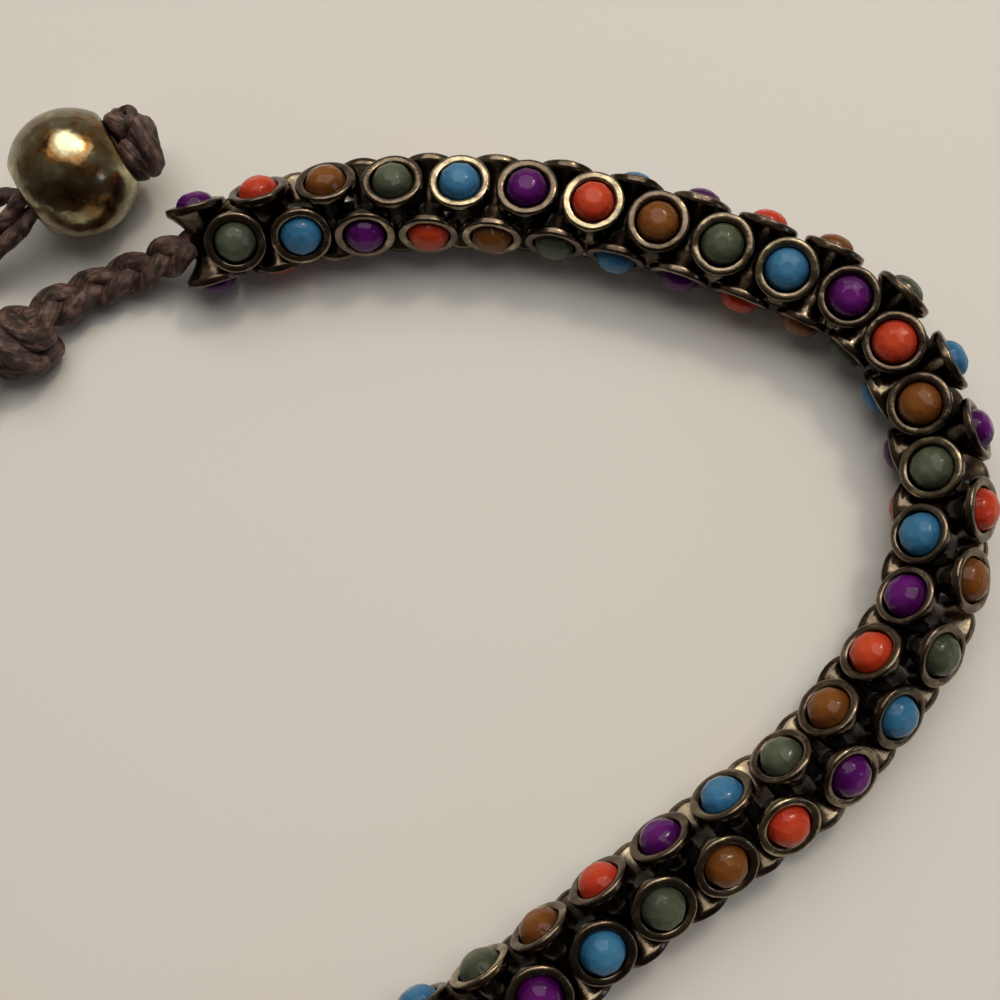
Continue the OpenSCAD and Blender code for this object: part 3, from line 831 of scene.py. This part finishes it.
def makeAgedBrass():
    # Polished brass gone blotchy with handling: dull gold with brown patches and a fine haze, with a pale spot
    # painted on top as a highlight where the window's reflection falls, and browner brass round it
    v = agedBrass
    material, shader = startMaterial("aged polished brass", Metallic=1.0)
    place = addNode(material, "TexCoord")
    blotch = addNode(material, "TexNoise", {"Vector": place.outputs["Object"], "Scale": noiseScale(v["blotch"]),
                     "Detail": 5.0, "Roughness": 0.6})
    fromSpot = addNode(material, "VectorMath", {0: place.outputs["Object"], 1: tuple(np.array(v["cleanAt"]) * mm)},
                       operation="DISTANCE")
    clean = addNode(material, "MapRange", {"Value": fromSpot.outputs["Value"], "From Min": v["clean"][0] * mm,
                    "From Max": v["clean"][1] * mm, "To Min": 0.34, "To Max": 0.0})
    brownRing = addNode(material, "MapRange", {"Value": fromSpot.outputs["Value"], "From Min": v["brownRing"][0] * mm,
                      "From Max": v["brownRing"][1] * mm, "To Min": -0.06, "To Max": 0.03})
    level = addNode(material, "Math", {0: blotch.outputs["Fac"], 1: clean.outputs[0]}, operation="ADD")
    level = addNode(material, "Math", {0: level.outputs[0], 1: brownRing.outputs[0]}, operation="ADD")
    shade = addNode(material, "ValToRGB", {"Fac": level.outputs[0]},
                    stops=[(0.34, linear(v["dark"])), (0.43, linear(v["brown"])),
                           (0.56, linear(v["gold"])), (0.8, linear(v["bright"]))])
    plug(material, shade.outputs[0], shader, "Base Color")
    haze = addNode(material, "TexNoise", {"Vector": place.outputs["Object"], "Scale": noiseScale(v["haze"]),
                   "Detail": 4.0})
    gloss = addNode(material, "MapRange", {"Value": haze.outputs["Fac"], "From Min": 0.3, "From Max": 0.7,
                    "To Min": v["roughness"] - 0.04, "To Max": v["roughness"] + 0.12})
    plug(material, gloss.outputs[0], shader, "Roughness")
    dents = addNode(material, "TexNoise", {"Vector": place.outputs["Object"], "Scale": noiseScale(v["dent"]),
                    "Detail": 3.0})
    fine = addNode(material, "Bump", {"Height": haze.outputs["Fac"], "Distance": v["hazeDepth"] * mm,
                   "Strength": 1.0})
    bump = addNode(material, "Bump", {"Height": dents.outputs["Fac"], "Distance": v["dentDepth"] * mm,
                   "Strength": 1.0, "Normal": fine.outputs[0]})
    plug(material, bump.outputs[0], shader, "Normal")
    return material


makePiece("brass_ball", makeBall(), makeAgedBrass(), ["ball_button"], sharp=60)
print("ball turned")

# Floor and light

stageLook = {
    "floor": "#dbdad8", "floorReach": 0.6, "floorDrop": 2e-5,  # metres
    "farSide": "#9b948a", "nearSide": "#3a3530", "roomStrength": 1.0,
}


def makeFloor():
    mesh = bpy.data.meshes.new("floor")
    reach, z = stageLook["floorReach"], -stageLook["floorDrop"]
    corners = [(-reach, -reach, z), (reach, -reach, z), (reach, reach, z), (-reach, reach, z)]
    mesh.from_pydata(corners, [], [(0, 1, 2, 3)])
    material, shader = startMaterial("matt paper", Roughness=0.9)
    shader.inputs["Base Color"].default_value = linear(stageLook["floor"])
    mesh.materials.append(material)
    addObject("floor", mesh)


def makeLight(name, toward, distance, size, power, color):
    # a rectangle of light, so many metres from the origin, which it faces
    data = bpy.data.lights.new(name, "AREA")
    data.shape, data.size, data.size_y = "RECTANGLE", size[0], size[1]
    data.energy, data.color = power, linear(color)[:3]
    light = addObject(name, data)
    place = Vector(toward).normalized() * distance
    light.location = place
    light.rotation_mode = "QUATERNION"
    light.rotation_quaternion = (-place).to_track_quat("-Z", "Y")


makeFloor()
makeLight("soft window", toward=(0.1, 0.43, 0.89), distance=0.62, size=(0.74, 0.58), power=3.08, color="#fffaf1")
makeLight("small warm light", toward=(0.4, 0.5, 0.77), distance=0.6, size=(0.08, 0.09), power=0.68, color="#ffeccb")
makeLight("small cool light", toward=(0.9, -0.2, 0.33), distance=0.5, size=(0.08, 0.1), power=0.08, color="#b9d3ff")


def makeRoom():
    # the room's light, brighter from the far side, where the window is, and dark from the near side
    world = bpy.data.worlds.new("room")
    world.use_nodes = True
    background = world.node_tree.nodes["Background"]
    toward = addNode(world, "SeparateXYZ", {0: addNode(world, "TexCoord").outputs["Generated"]})
    share = addNode(world, "MapRange", {"Value": toward.outputs["Y"], "From Min": -0.7, "From Max": 0.9})
    shade = addNode(world, "ValToRGB", {"Fac": share.outputs[0]},
                    stops=[(0.0, linear(stageLook["nearSide"])), (1.0, linear(stageLook["farSide"]))])
    world.node_tree.links.new(shade.outputs[0], background.inputs["Color"])
    background.inputs["Strength"].default_value = stageLook["roomStrength"]
    scene.world = world


makeRoom()
scene.view_settings.view_transform = "Standard"
print("floor and light set")
